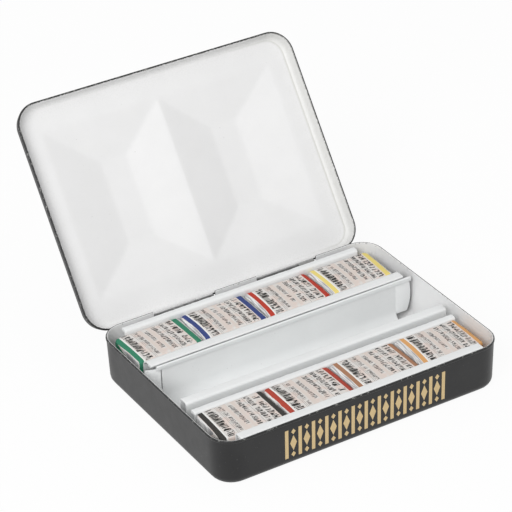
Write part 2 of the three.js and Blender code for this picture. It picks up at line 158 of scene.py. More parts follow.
# Hinges
HINGE_CENTRES = (-24.7, 23.9)
LID_KNUCKLE = 20.5
BASE_KNUCKLE = 7.5
KNUCKLE_GAP = 0.5
PIN_RADIUS = 0.8
CURL_INNER = PIN_RADIUS + FIT_GAP
CURL_LINE = CURL_INNER + HALF_SHEET
NOTCH = LID_KNUCKLE + BASE_KNUCKLE + 2 * KNUCKLE_GAP
NOTCH_FLOOR = HINGE_Z - CURL_INNER - SHEET - FIT_GAP
CURL_TURN = math.radians(318)
KNUCKLE_ROOT = 1.0

# Skins near the rim: the inner rim's rounding, the width of the seam, and how far the wear reaches down
RIM_ROUND = 0.1
RIM_SEAM = 0.05
RIM_WEAR = 0.7

# Painted shade in the lid's fold, and dusty grains near it: how far in the fold is marked, how the shade
# deepens to the right, and how much shade lies at a mark
FOLD_SPAN = 10.0
SHADE_POWER = 3
FOLD_SHADE = ((0.65, 0.0), (0.73, 0.95), (0.765, 0.30), (0.80, 0.46), (0.94, 0.46))

# Meshes: the plates' grids and how far in they end, steps round bends, and limits
BASE_STEP = 2.0
BASE_INSET = 9.0
LID_STEP = 0.8
LID_INSET = 8.0
ROUND_STEPS = 10
WALL_STEPS = 4
BASE_BEAD_STEPS = 9
BEND_STEPS = 8
CURL_STEPS = 30
BOW_STEPS = 12
LEAST_CORNER = 0.3
LEAST_MITRE = 0.2
CUT_PAST = 1.0
SAME_PLACE = 1e-7

# Edges: rounding in millimetres, and the angles in degrees past which an edge is rounded or stays sharp
SHEET_ROUND = 0.1
HOLDER_ROUND = 0.12
ROUND_SEGMENTS = 2
ROUNDED_FROM = 50
SHARP_FROM = 40
PAPER_SHARP_FROM = 50


# Mesh helpers

def link(thing):
    bpy.context.scene.collection.objects.link(thing)
    return thing


def new_piece(name, sheet, material, body, node=None, sharp_from=SHARP_FROM):
    """A piece on its body, from (vertices, faces) in millimetres"""
    vertices, faces = sheet
    mesh = bpy.data.meshes.new(name)
    mesh.from_pydata([Vector(v) * MM for v in vertices], [], faces)
    bm = bmesh.new()
    bm.from_mesh(mesh)
    bmesh.ops.remove_doubles(bm, verts=bm.verts, dist=SAME_PLACE)
    bmesh.ops.dissolve_degenerate(bm, edges=bm.edges, dist=SAME_PLACE)
    bmesh.ops.delete(bm, geom=[v for v in bm.verts if not v.link_faces], context="VERTS")
    bmesh.ops.recalc_face_normals(bm, faces=bm.faces)
    bm.to_mesh(mesh)
    bm.free()
    mesh.materials.append(material)
    piece = link(bpy.data.objects.new(name, mesh))
    soften(piece, sharp_from)
    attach(piece, body)
    if node:
        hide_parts(node)
    return piece


def soften(piece, angle=SHARP_FROM):
    """Smooth shading, with edges sharper than the angle kept"""
    piece.data.shade_smooth()
    piece.data.set_sharp_from_angle(angle=math.radians(angle))


def modify(piece, kind, **settings):
    modifier = piece.modifiers.new(kind, kind)
    for key, value in settings.items():
        setattr(modifier, key, value)
    bpy.context.view_layer.update()
    mesh = bpy.data.meshes.new_from_object(piece.evaluated_get(bpy.context.evaluated_depsgraph_get()))
    piece.modifiers.clear()
    piece.data = mesh


def round_edges(piece, width=SHEET_ROUND):
    modify(piece, "BEVEL", width=width * MM, segments=ROUND_SEGMENTS, limit_method="ANGLE",
        angle_limit=math.radians(ROUNDED_FROM))
    soften(piece)


def mark(piece, name, value):
    """Stores a value for each point, from its place in millimetres"""
    values = [value(vertex.co / MM) for vertex in piece.data.vertices]
    piece.data.attributes.new(name, "FLOAT", "POINT").data.foreach_set("value", values)


def mark_rim(piece, level):
    """Marks how near each point is to the rim's level, for the chips there"""
    mark(piece, "rim", lambda point: max(0.0, 1 - abs(point.z - level) / RIM_WEAR))


def mark_fold(piece):
    """Marks how near each point is to the lid's outline and to its right side, for the painted shade in the
    fold and the dusty grains near it
    """
    def nearness(point):
        beyond_x = abs(point.x) - (HALF_WIDTH - CORNER)
        beyond_y = abs(point.y) - (TIN_DEPTH / 2 - CORNER)
        outside = math.hypot(max(beyond_x, 0.0), max(beyond_y, 0.0))
        inset = CORNER - outside - min(max(beyond_x, beyond_y), 0.0)
        return max(0.0, 1 - inset / FOLD_SPAN)
    mark(piece, "fold", nearness)
    mark(piece, "right_side", lambda point: max(0.0, point.x / HALF_WIDTH) ** SHADE_POWER)


def cut_boxes(piece, boxes):
    """Takes boxes of (low, high) corners in millimetres out of a piece"""
    for low, high in boxes:
        mesh = bpy.data.meshes.new("cutter")
        bm = bmesh.new()
        low, high = Vector(low) * MM, Vector(high) * MM
        place = Matrix.Translation((low + high) / 2) @ Matrix.Diagonal((*(high - low), 1))
        bmesh.ops.create_cube(bm, size=1, matrix=place)
        bm.to_mesh(mesh)
        bm.free()
        cutter = link(bpy.data.objects.new("cutter", mesh))
        modify(piece, "BOOLEAN", operation="DIFFERENCE", solver="EXACT", object=cutter)
        bpy.data.objects.remove(cutter)
    soften(piece)


def quarter(segments):
    """Sines and cosines along a quarter round"""
    return [(math.sin(math.pi / 2 * i / segments), math.cos(math.pi / 2 * i / segments))
            for i in range(segments + 1)]


def rounded(points, half, radius):
    """Moves points of a rectangle's edge onto a rounded rectangle of that half size"""
    out = []
    for x, y in points:
        u, v = x * half[0], y * half[1]
        cx = max(abs(u) - (half[0] - radius), 0)
        cy = max(abs(v) - (half[1] - radius), 0)
        if cx > 0 and cy > 0:
            length = math.hypot(cx, cy)
            u = math.copysign(half[0] - radius + radius * cx / length, u)
            v = math.copysign(half[1] - radius + radius * cy / length, v)
        out.append((u, v))
    return out


def drawn_sheet(level, profile, back_level, plate_inset, step, pressed=None):
    """A pressed skin: a plate at one level, rings out along a profile of (inset, z) and back, and a plate at
    another level; pressed(x, y), where given, is added to both levels"""
    half = (HALF_WIDTH - plate_inset, TIN_DEPTH / 2 - plate_inset)
    nx, ny = (2 * round(size / step) for size in half)
    xs = np.linspace(-1, 1, nx + 1)
    ys = np.linspace(-1, 1, ny + 1)
    edge = ([(i, 0) for i in range(nx)] + [(nx, j) for j in range(ny)]
            + [(i, ny) for i in range(nx, 0, -1)] + [(0, j) for j in range(ny, 0, -1)])
    edge_points = [(xs[i], ys[j]) for i, j in edge]
    vertices, faces = [], []

    def plate(level, flip):
        start = len(vertices)
        for y in ys * half[1]:
            for x in xs * half[0]:
                vertices.append((x, y, level + pressed(x, y) if pressed else level))

        def index(i, j):
            return start + j * (nx + 1) + i

        for j in range(ny):
            for i in range(nx):
                face = [index(i, j), index(i + 1, j), index(i + 1, j + 1), index(i, j + 1)]
                faces.append(face[::-1] if flip else face)
        return [index(i, j) for i, j in edge]

    last = plate(level, False)
    for inset, z in profile:
        ring_half = (HALF_WIDTH - inset, TIN_DEPTH / 2 - inset)
        start = len(vertices)
        for x, y in rounded(edge_points, ring_half, max(CORNER - inset, LEAST_CORNER)):
            vertices.append((x, y, z))
        ring = list(range(start, len(vertices)))
        join(faces, last, ring)
        last = ring
    join(faces, last, plate(back_level, True))
    return vertices, faces


def join(faces, ring_a, ring_b):
    """Adds faces between two rings of as many points"""
    count = len(ring_a)
    for i in range(count):
        j = (i + 1) % count
        faces.append([ring_a[i], ring_a[j], ring_b[j], ring_b[i]])


def add_prism(vertices, faces, back, front):
    """Adds a solid between two outlines of as many points"""
    start, count = len(vertices), len(back)
    vertices += back + front
    ring_a, ring_b = (list(range(low, low + count)) for low in (start, start + count))
    faces += [ring_a, ring_b[::-1]]
    join(faces, ring_b, ring_a)


def bent_line(corners):
    """Rounds the corners of a line of (y, z, radius)"""
    line = []
    for i, (y, z, radius) in enumerate(corners):
        here = Vector((y, z))
        if radius == 0:
            line.append(here)
            continue
        before = (Vector(corners[i - 1][:2]) - here).normalized()
        after = (Vector(corners[i + 1][:2]) - here).normalized()
        half = before.angle(after) / 2
        middle = here + (before + after).normalized() * radius / math.sin(half)
        start = here + before * radius / math.tan(half) - middle
        turn = math.copysign(math.pi - 2 * half, before.x * after.y - before.y * after.x)
        for step in range(BEND_STEPS + 1):
            angle = -turn * step / BEND_STEPS
            cos, sin = math.cos(angle), math.sin(angle)
            line.append(middle + Vector((start.x * cos - start.y * sin, start.x * sin + start.y * cos)))
    return line


def folded_sheet(line, columns, ends=None, shift=None):
    """A sheet folded along a line of (y, z) that runs through columns of X. ends(y, z), where given, is
    where the sheet starts and stops there; shift(x, index on the line) moves its middle by (y, z)."""
    count = len(line)
    across = []
    for i, point in enumerate(line):
        into = (point - line[i - 1]).normalized() if i else (line[1] - point).normalized()
        out = (line[i + 1] - point).normalized() if i < count - 1 else into
        along = (into + out).normalized()
        across.append(Vector((-along.y, along.x)) * HALF_SHEET / max(along.dot(out), LEAST_MITRE))
    vertices, faces = [], []
    for x in columns:
        for i, (point, offset) in enumerate(zip(line, across)):
            middle = point + Vector(shift(x, i)) if shift else point
            vertices += [(x, *(middle + offset)), (x, *(middle - offset))]

    def kept(i, j):
        if not (0 <= i < count - 1 and 0 <= j < len(columns) - 1):
            return False
        if ends is None:
            return True
        start, stop = ends(*(line[i] + line[i + 1]) / 2)
        return start < (columns[j] + columns[j + 1]) / 2 < stop

    def face(*corners):
        faces.append([2 * (j * count + i) + side for i, j, side in corners])

    for j in range(len(columns) - 1):
        for i in range(count - 1):
            if not kept(i, j):
                continue
            ring = [(i, j), (i + 1, j), (i + 1, j + 1), (i, j + 1)]
            face(*((*corner, 0) for corner in ring))
            face(*((*corner, 1) for corner in ring[::-1]))
            beside = [(i, j - 1), (i + 1, j), (i, j + 1), (i - 1, j)]
            for start, end, other in zip(ring, ring[1:] + ring[:1], beside):
                if not kept(*other):
                    face((*start, 0), (*start, 1), (*end, 1), (*end, 0))
    return vertices, faces


# Materials

SPECK_EDGE = 0.03
CHIP_EDGE = 0.06
GRAIN_SHARE = 0.22
RUBBED_SHADE = 0.6
CAKE_SHADE = 0.55
CURL_EDGE = (-0.5, 0.5)


class Nodes:
    """Short calls for building a node tree"""

    def __init__(self, tree):
        self.tree = tree

    def add(self, kind, values=None, **settings):
        node = self.tree.nodes.new(kind)
        for key, value in settings.items():
            setattr(node, key, value)
        for key, value in (values or {}).items():
            self.put(node.inputs[key], value)
        return node

    def put(self, socket, value):
        if isinstance(value, bpy.types.NodeSocket):
            self.tree.links.new(value, socket)
        elif isinstance(value, (tuple, list)) and len(value) == 3 and socket.type == "RGBA":
            socket.default_value = (*value, 1)
        else:
            socket.default_value = value

    def math(self, operation, *values, clamp=False):
        node = self.add("ShaderNodeMath", operation=operation, use_clamp=clamp)
        for socket, value in zip(node.inputs, values):
            self.put(socket, value)
        return node.outputs[0]

    def times(self, first, *others):
        for other in others:
            first = self.math("MULTIPLY", first, other)
        return first

    def either(self, first, *others):
        for other in others:
            first = self.math("MAXIMUM", first, other)
        return first

    def within(self, value, low, high):
        """1 where low < value < high, else 0"""
        return self.times(self.math("GREATER_THAN", value, low), self.math("LESS_THAN", value, high))

    def noise(self, vector, scale, detail=2.0):
        node = self.add("ShaderNodeTexNoise", {"Vector": vector, "Scale": scale, "Detail": detail})
        return node.outputs["Fac"]

    def random(self, value):
        """Three random numbers for a whole number"""
        node = self.add("ShaderNodeTexWhiteNoise", {"W": value}, noise_dimensions="1D")
        return self.add("ShaderNodeSeparateColor", {"Color": node.outputs["Color"]}).outputs[:3]

    def ramp(self, value, *stops):
        """Grey levels between stops of (value, level)"""
        node = self.add("ShaderNodeValToRGB", {"Fac": value})
        elements = node.color_ramp.elements
        while len(elements) < len(stops):
            elements.new(0.5)
        for element, (position, level) in zip(elements, stops):
            element.position = position
            element.color = (level, level, level, 1)
        return node.outputs["Color"]

    def rise(self, value, low, high):
        """0 up to the low value, 1 from the high one"""
        return self.ramp(value, (low, 0.0), (high, 1.0))

    def mix(self, share, color, other):
        """Sockets 6 and 7 and output 2 of a Mix node are its colours"""
        node = self.add("ShaderNodeMix", {"Factor": share, 6: color, 7: other}, data_type="RGBA")
        return node.outputs[2]

    def attribute(self, name, output="Fac"):
        return self.add("ShaderNodeAttribute", attribute_name=name).outputs[output]

    def stretched(self, vector, *scale):
        return self.add("ShaderNodeMapping", {"Vector": vector, "Scale": scale}).outputs["Vector"]


class Surface(Nodes):
    """One material"""

    def __init__(self, name, specular=0.5, metallic=0.0):
        self.material = bpy.data.materials.new(name)
        self.material.use_nodes = True
        super().__init__(self.material.node_tree)
        self.shader = self.tree.nodes["Principled BSDF"].inputs
        self.shader["Specular IOR Level"].default_value = specular
        self.shader["Metallic"].default_value = metallic

    def color(self, value):
        self.put(self.shader["Base Color"], value)

    def roughness(self, middle, pattern=None, span=0.0):
        """Even, or moved by a pattern up to half a span either way"""
        if pattern is not None:
            middle = self.math("MULTIPLY_ADD", pattern, span, middle - span / 2)
        self.put(self.shader["Roughness"], middle)

    def bump(self, height, strength, distance):
        node = self.add("ShaderNodeBump", {"Height": height, "Strength": strength, "Distance": distance})
        self.put(self.shader["Normal"], node.outputs["Normal"])

    def position(self):
        return self.add("ShaderNodeTexCoord").outputs["Object"]


def enamel(name, color, shade, roughness, peel, speck, speck_from, worn, bare_from, specular, dust_and_shade=None):
    """Stoved enamel: a faint mottle, an orange-peel bump, a few specks, and chips along a marked rim. Where
    a colour for fold and grains is given, it is painted shade in the marked fold, deeper to the right, and
    fine dusty grains near it."""
    n = Surface(name, specular=specular)
    where = n.position()
    mottle = n.rise(n.noise(where, scale=90.0, detail=3.0), 0.35, 0.68)
    base = n.mix(mottle, color, shade)
    if dust_and_shade:
        # Painted shade: the fold is darkened, more towards the right side; then fine dusty grains near the
        # fold, in the same colour
        fold = n.attribute("fold")
        painted_shade = n.times(n.attribute("right_side"), n.ramp(fold, *FOLD_SHADE))
        base = n.mix(painted_shade, base, dust_and_shade)
        grains = n.rise(n.noise(where, scale=1700.0), 0.47, 0.62)
        base = n.mix(n.times(fold, grains, GRAIN_SHARE), base, dust_and_shade)
    specks = n.rise(n.noise(where, scale=1500.0, detail=1.0), speck_from, speck_from + SPECK_EDGE)
    chips = n.rise(n.noise(where, scale=1100.0, detail=3.0), bare_from, bare_from + CHIP_EDGE)
    n.color(n.mix(n.times(n.attribute("rim"), chips), n.mix(specks, base, speck), worn))
    n.roughness(roughness, n.noise(where, scale=220.0), span=0.12)
    n.bump(n.noise(where, scale=650.0), strength=peel, distance=0.0002)
    return n.material


def darker(color, share):
    return tuple(channel * share for channel in color)


def curled_enamel(name, shaded_curl, tongue):
    """Enamel on a hinge knuckle: painted shade on the curl round the pin, where it sits in a shaded gap, the
    tongue behind it in its own colour, and rubbed patches over both
    """
    n = Surface(name)
    where = n.position()
    y = n.add("ShaderNodeSeparateXYZ", {"Vector": where}).outputs["Y"]
    start, stop = ((HINGE_Y + edge) * MM for edge in CURL_EDGE)
    behind = n.math("MULTIPLY_ADD", y, 1 / (stop - start), -start / (stop - start), clamp=True)
    rubbed = n.ramp(n.noise(where, scale=420.0, detail=3.0), (0.45, 0.0), (0.75, 0.5))
    n.color(n.mix(rubbed, n.mix(behind, shaded_curl, tongue), darker(tongue, RUBBED_SHADE)))
    n.roughness(0.40, n.noise(where, scale=300.0), span=0.2)
    n.bump(n.noise(where, scale=900.0), strength=0.1, distance=0.0001)
    return n.material


def drawn_wire(name, color):
    """Drawn steel, with fine lines along X"""
    n = Surface(name, metallic=1.0)
    lines = n.noise(n.stretched(n.position(), 60.0, 3000.0, 3000.0), scale=1.0)
    n.color(n.mix(lines, color, darker(color, RUBBED_SHADE)))
    n.roughness(0.35, lines, span=0.2)
    n.bump(lines, strength=0.3, distance=0.00005)
    return n.material


def printed_gold():
    n = Surface("gold_print", metallic=0.1)
    grain = n.noise(n.position(), scale=1400.0)
    n.color(n.mix(grain, (0.57, 0.42, 0.20), (0.66, 0.50, 0.27)))
    n.roughness(0.45, grain, span=0.2)
    n.bump(grain, strength=0.15, distance=0.00005)
    return n.material


def moulded_plastic():
    n = Surface("tub_plastic")
    where = n.position()
    n.color(n.mix(n.noise(where, scale=300.0), (0.86, 0.86, 0.83), (0.80, 0.80, 0.77)))
    n.roughness(0.45)
    n.bump(n.noise(where, scale=900.0, detail=3.0), strength=0.1, distance=0.0001)
    return n.material


def dried_paint(name, color):
    """A cake of watercolour: uneven, matt, with a few glossier patches"""
    n = Surface(name)
    where = n.position()
    clouds = n.noise(where, scale=260.0, detail=4.0)
    n.color(n.mix(clouds, darker(color, CAKE_SHADE), color))
    n.roughness(0.55, n.noise(where, scale=120.0), span=0.4)
    n.bump(clouds, strength=0.4, distance=0.0004)
    return n.material


# Printed wrappers: unreadable strokes in columns. Places are in millimetres, x along the pan from the
# label's left end and y along the paper from its middle line.

LABEL_WIDTH = 28.4
LABEL_OVERLAP = 0.2
LEFT_STRIPE = (0.0, 2.0)
WHITE_MARGIN = 0.6
RIGHT_STRIPE = (26.0, LABEL_WIDTH)
PRINT_HALF = 10.4
RULES = (7.4, 8.0, 19.2)
RULE_WIDTH = 0.14
TINTED_BANDS = ((10.4, 12.0), (14.2, 15.6))
SHADED_BAND = (3.0, 5.3)
SHADED_REACH = (-2.6, 6.6)

SHADED_SHARE = 0.85
RULE_SHARE = 0.6
FADED_SHARE = 0.05

# (left, right, pitch along the column, darkness, level above which a stroke is inked, first y, last y)
COLUMNS = (
    (2.7, 6.6, 1.9, 0.99, 0.485, -10.2, 10.0),
    (8.3, 10.2, 0.95, 0.85, 0.50, -9.0, 9.4),
    (12.1, 14.1, 0.95, 0.84, 0.49, -6.5, 7.8),
    (15.9, 18.3, 1.25, 0.97, 0.50, -9.2, 9.0),
    (19.7, 22.2, 1.2, 0.97, 0.49, -9.8, 9.8),
    (22.6, 25.7, 1.9, 0.99, 0.515, -10.0, 9.8),
)

# Strokes, in shares of their cell: slant, noise across and along, where a stem and a letter lie, and ragged
# edges. A top is (least, how much more a random number adds).
SLANT = 0.3
STROKES_ACROSS = 1.7
STROKES_ALONG = 2.6
STEM = (0.12, 0.34)
STEM_FOOT = 0.1
STEM_TOP = (0.6, 0.4)
LETTER = (0.08, 0.9)
RAGGED_FOOT = 0.22
RAGGED_TOP = (0.86, 0.12)
SHOWN_SHARE = 0.94

# Steps of the cells and of their noise, from label to label and from column to column
LABEL_STEPS = (7.3, 3.1)
COLUMN_STEPS = (31.7, 5.3)


def column_marks(n, x, y, seed, column, number):
    """Unreadable strokes in one printed column: ink where a noise is high, in letter-sized cells"""
    left, right, pitch, darkness, level, first, last = column
    across = n.math("DIVIDE", n.math("SUBTRACT", x, left), right - left)
    slanted = n.math("MULTIPLY_ADD", across, SLANT, n.math("DIVIDE", y, pitch))
    along = n.math("ADD", slanted, n.math("MULTIPLY_ADD", seed, LABEL_STEPS[0], number * COLUMN_STEPS[0]))
    part = n.math("FRACT", along)
    one, two, three = n.random(n.math("FLOOR", along))
    spot = n.add("ShaderNodeCombineXYZ", {
        "X": n.times(across, STROKES_ACROSS),
        "Y": n.times(along, STROKES_ALONG),
        "Z": n.math("MULTIPLY_ADD", seed, LABEL_STEPS[1], number * COLUMN_STEPS[1])}).outputs[0]
    strokes = n.math("GREATER_THAN", n.noise(spot, scale=1.0, detail=1.0), level)
    stem_top = n.math("MULTIPLY_ADD", two, STEM_TOP[1], STEM_TOP[0])
    stem = n.times(n.within(part, *STEM), n.within(across, STEM_FOOT, stem_top))
    letter = n.times(n.either(strokes, stem), n.within(part, *LETTER))
    foot = n.times(three, RAGGED_FOOT)
    top = n.math("MULTIPLY_ADD", one, RAGGED_TOP[1], RAGGED_TOP[0])
    inside = n.times(n.within(across, foot, top), n.within(y, first, last))
    shown = n.math("LESS_THAN", one, SHOWN_SHARE)
    return n.times(letter, inside, shown, darkness)


def label_group():
    """The paper with its stripes, rules and print, and bare creased paper outside the label, with painted
    shade in its creases
    """
    group = bpy.data.node_groups.new("label", "ShaderNodeTree")
    for name, kind in (("Where", "Vector"), ("Stripe", "Color"), ("Seed", "Float")):
        group.interface.new_socket(name, in_out="INPUT", socket_type="NodeSocket" + kind)
    group.interface.new_socket("Color", in_out="OUTPUT", socket_type="NodeSocketColor")
    n = Nodes(group)
    where, stripe_color, seed = n.add("NodeGroupInput").outputs[:3]
    x, y = n.add("ShaderNodeSeparateXYZ", {"Vector": where}).outputs[:2]
    fibres = n.noise(where, scale=0.9, detail=3.0)
    clouds = n.rise(n.noise(where, scale=0.22, detail=1.0), 0.48, 0.62)
    paper = n.mix(clouds, n.mix(fibres, (0.65, 0.62, 0.59), (0.78, 0.755, 0.73)), (0.73, 0.63, 0.58))
    for low, high in TINTED_BANDS:
        paper = n.mix(n.within(x, low, high), paper, (0.71, 0.63, 0.58))
    shaded = n.times(n.within(x, *SHADED_BAND), n.within(y, *SHADED_REACH), SHADED_SHARE)
    paper = n.mix(shaded, paper, (0.30, 0.29, 0.27))
    print_area = n.within(y, -PRINT_HALF, PRINT_HALF)
    for place in RULES:
        rule = n.times(n.within(x, place, place + RULE_WIDTH), print_area, RULE_SHARE)
        paper = n.mix(rule, paper, (0.05, 0.05, 0.05))
    marks = n.either(*(column_marks(n, x, y, seed, column, number) for number, column in enumerate(COLUMNS)))
    on_label = n.within(x, -LABEL_OVERLAP, LABEL_WIDTH + LABEL_OVERLAP)
    paper = n.mix(n.times(marks, on_label), paper, (0.025, 0.023, 0.022))
    stripe = n.either(n.within(x, *LEFT_STRIPE), n.within(x, *RIGHT_STRIPE))
    ink = n.mix(n.times(fibres, FADED_SHARE), stripe_color, (0.75, 0.74, 0.72))
    paper = n.mix(n.within(x, LEFT_STRIPE[1], LEFT_STRIPE[1] + WHITE_MARGIN), paper, (0.84, 0.84, 0.82))
    # The bare paper outside the label gets dark streaks of painted shade along its creases
    creases = n.noise(n.stretched(where, 2.6, 0.12, 1.0), scale=1.0)
    bare = n.mix(n.rise(creases, 0.42, 0.60), (0.36, 0.36, 0.37), (0.80, 0.80, 0.79))
    n.add("NodeGroupOutput", {"Color": n.mix(on_label, bare, n.mix(stripe, paper, ink))})
    return group


LABEL = label_group()


def printed_wrapper(name, stripe_color, seed):
    n = Surface(name, specular=0.22)
    where = n.attribute("label", "Vector")
    given = {"Where": where, "Stripe": stripe_color, "Seed": seed}
    n.color(n.add("ShaderNodeGroup", given, node_tree=LABEL).outputs["Color"])
    n.roughness(0.695, n.noise(where, scale=1.1), span=0.15)
    n.bump(n.noise(n.position(), scale=700.0, detail=4.0), strength=0.25, distance=0.0001)
    return n.material


BLACK = enamel("black_enamel", color=(0.008, 0.008, 0.0085), shade=(0.012, 0.012, 0.0125),
    roughness=0.40, peel=0.08, speck=(0.05, 0.05, 0.05), speck_from=0.74,
    worn=(0.24, 0.24, 0.23), bare_from=0.60, specular=0.42)
SMOOTH = {"color": (0.795, 0.795, 0.795), "shade": (0.78, 0.78, 0.78), "roughness": 0.42, "peel": 0.06,
          "speck": (0.58, 0.58, 0.57), "speck_from": 0.79, "specular": 0.45}
WHITE = enamel("white_enamel", worn=(0.24, 0.24, 0.23), bare_from=0.61, **SMOOTH)
# The lid's white has its fold darkened with painted shade, deeper towards the right side, and dusty grains
# near the fold
LID_WHITE = enamel("lid_white_enamel", worn=(0.22, 0.22, 0.21), bare_from=0.41,
    dust_and_shade=(0.55, 0.55, 0.52), **SMOOTH)
FOLDED_WHITE = enamel("insert_enamel", color=(0.81, 0.822, 0.822), shade=(0.79, 0.802, 0.802),
    roughness=0.38, peel=0.22, speck=(0.62, 0.62, 0.61), speck_from=0.77,
    worn=(0.20, 0.20, 0.19), bare_from=0.57, specular=0.45)
# The curls' darker colours are painted shade in the gap round the pins; the tongues have the enamel's own
# pale or worn grey colour
DARK_CURL = curled_enamel("scuffed_pale_enamel_shaded_curl", shaded_curl=(0.07, 0.07, 0.07), tongue=(0.78, 0.78, 0.78))
GREY_CURL = curled_enamel("worn_grey_enamel_shaded_curl", shaded_curl=(0.06, 0.06, 0.06), tongue=(0.50, 0.50, 0.50))
GREY_END = curled_enamel("worn_grey_end_shaded_curl", shaded_curl=(0.26, 0.26, 0.25), tongue=(0.30, 0.30, 0.30))
STEEL = drawn_wire("hinge_steel", (0.50, 0.51, 0.52))
GOLD = printed_gold()
TUB = moulded_plastic()

# Pan colours: (slot, paint and stripe colour)
PAINTS = (
    ("paint_green", (0.020, 0.200, 0.110)),
    ("paint_blue", (0.024, 0.048, 0.195)),
    ("paint_red", (0.46, 0.028, 0.009)),
    ("paint_yellow", (0.82, 0.67, 0.20)),
    ("paint_grey", (0.022, 0.020, 0.017)),
    ("paint_brick", (0.40, 0.042, 0.020)),
    ("paint_brown", (0.38, 0.185, 0.10)),
    ("paint_ochre", (0.70, 0.36, 0.13)),
)


# Camera, light and floor

def set_camera():
    data = bpy.data.cameras.new("camera")
    data.lens = CAMERA_LENS
    camera = link(bpy.data.objects.new("camera", data))
    turn = Matrix.Rotation(-CAMERA_AZIMUTH, 4, "Z") @ Matrix.Rotation(math.pi / 2 - CAMERA_ELEVATION, 4, "X")
    camera.matrix_world = Matrix.Translation(CAMERA_AT) @ turn @ Matrix.Rotation(CAMERA_ROLL, 4, "Z")
    bpy.context.scene.camera = camera


def set_key_light():
    data = bpy.data.lights.new("key", "AREA")
    data.size = KEY_SIZE
    data.energy = KEY_POWER
    light = link(bpy.data.objects.new("key", data))
    light.location = KEY_PLACE
    light.rotation_euler = (-Vector(KEY_PLACE)).to_track_quat("-Z", "Y").to_euler()


def set_shaders(block, output, lit, shown, share=1.0):
    """Gives a world or a material one shader as light, and shows a share of another to camera, glossy and
    transmission rays; a shader is (kind, values)"""
    block.use_nodes = True
    block.node_tree.nodes.clear()
    n = Nodes(block.node_tree)
    path = n.add("ShaderNodeLightPath").outputs
    seen = n.math("ADD", path["Is Camera Ray"], path["Is Glossy Ray"], clamp=True)
    seen = n.math("ADD", seen, path["Is Transmission Ray"], clamp=True)
    lit, shown = (n.add(kind, values).outputs[0] for kind, values in (lit, shown))
    mixed = n.add("ShaderNodeMixShader", {0: n.times(seen, share), 1: lit, 2: shown})
    n.add(output, {"Surface": mixed.outputs[0]})


def set_world():
    """White where it is seen, and softer as light"""
    world = bpy.data.worlds.new("studio")
    bpy.context.scene.world = world
    soft, plain = (("ShaderNodeBackground", {"Color": (1.0, 1.0, 1.0), "Strength": strength})
                   for strength in (AMBIENT, 1.0))
    set_shaders(world, "ShaderNodeOutputWorld", soft, plain)


def set_floor():
    """A pale floor that shows nearly white and keeps a faint shadow"""
    corners = [(x * FLOOR_HALF, y * FLOOR_HALF, 0) for x, y in ((-1, -1), (1, -1), (1, 1), (-1, 1))]
    mesh = bpy.data.meshes.new("floor")
    mesh.from_pydata(corners, [], [(0, 1, 2, 3)])
    mesh.materials.append(bpy.data.materials.new("floor"))
    set_shaders(mesh.materials[0], "ShaderNodeOutputMaterial",
        ("ShaderNodeBsdfDiffuse", {"Color": FLOOR_GREY}), ("ShaderNodeEmission", {}), FLOOR_GLOW)
    link(bpy.data.objects.new("floor", mesh))


set_camera()
set_world()
set_floor()
set_key_light()
bpy.context.scene.view_settings.view_transform = "Standard"


# Base tin: a black outer skin and a white inner skin

def bead(middle, way, steps):
    """The bead round the outline as (inset, z), upwards where way is -1 and downwards where it is 1"""
    angles = [math.pi * i / steps for i in range(1, steps)]
    return [(BEAD_PROUD * (1 - math.sin(angle)), middle + way * HALF_BEAD * math.cos(angle))
            for angle in angles]


def base_profile():
    """Outer surface from foot to rim as (inset, z)"""
    wall_foot = BEAD_PROUD + DRAFT
    wall_top = BASE_HEIGHT - BEAD_HEIGHT
    outer = [(wall_foot + FOOT * (1 - s), FOOT * (1 - c)) for s, c in quarter(ROUND_STEPS)]
    outer += [(wall_foot - DRAFT * i / WALL_STEPS, FOOT + (wall_top - FOOT) * i / WALL_STEPS)
              for i in range(1, WALL_STEPS + 1)]
    return outer + bead(BASE_HEIGHT - HALF_BEAD, -1, BASE_BEAD_STEPS) + [(BEAD_PROUD, BASE_HEIGHT)]


def skin_line(depth, height):
    """The wall's surface at some depth into the sheet, from rim to foot"""
    foot_radius = FOOT - depth
    wall_foot = BEAD_PROUD + DRAFT + depth
    line = [(BEAD_PROUD + depth, height),
            (BEAD_PROUD + depth + DRAFT * RIM_WEAR / (height - FOOT), height - RIM_WEAR)]
    return line + [(wall_foot + foot_radius * (1 - s), FOOT - foot_radius * c)
                   for s, c in quarter(ROUND_STEPS)[::-1]]


NOTCHES = [((centre - NOTCH / 2, TIN_BACK - RIM_STACK - CUT_PAST, NOTCH_FLOOR),
            (centre + NOTCH / 2, TIN_BACK + CUT_PAST, BASE_HEIGHT + CUT_PAST)) for centre in HINGE_CENTRES]

outer_line = base_profile() + skin_line(HALF_SHEET + SKIN_GAP, BASE_HEIGHT)
outer_sheet = drawn_sheet(0.0, outer_line, HALF_SHEET - SKIN_GAP, BASE_INSET, BASE_STEP)
tin_outside = new_piece("tin_outside", outer_sheet, BLACK, "base", "base_tin")
cut_boxes(tin_outside, NOTCHES)
mark_rim(tin_outside, BASE_HEIGHT)

inner_line = skin_line(SHEET, BASE_HEIGHT - RIM_ROUND)[::-1]
inner_line += [(RIM_STACK - RIM_ROUND, BASE_HEIGHT), (BEAD_PROUD + HALF_SHEET + 2 * SKIN_GAP, BASE_HEIGHT)]
inner_line += skin_line(HALF_SHEET + 2 * SKIN_GAP, BASE_HEIGHT - RIM_ROUND)
inner_sheet = drawn_sheet(SHEET, inner_line, HALF_SHEET, BASE_INSET, BASE_STEP)
tin_inside = new_piece("tin_inside", inner_sheet, WHITE, "base", "base_tin")
cut_boxes(tin_inside, NOTCHES)
mark_rim(tin_inside, BASE_HEIGHT)


# Lid, built closed and then turned open

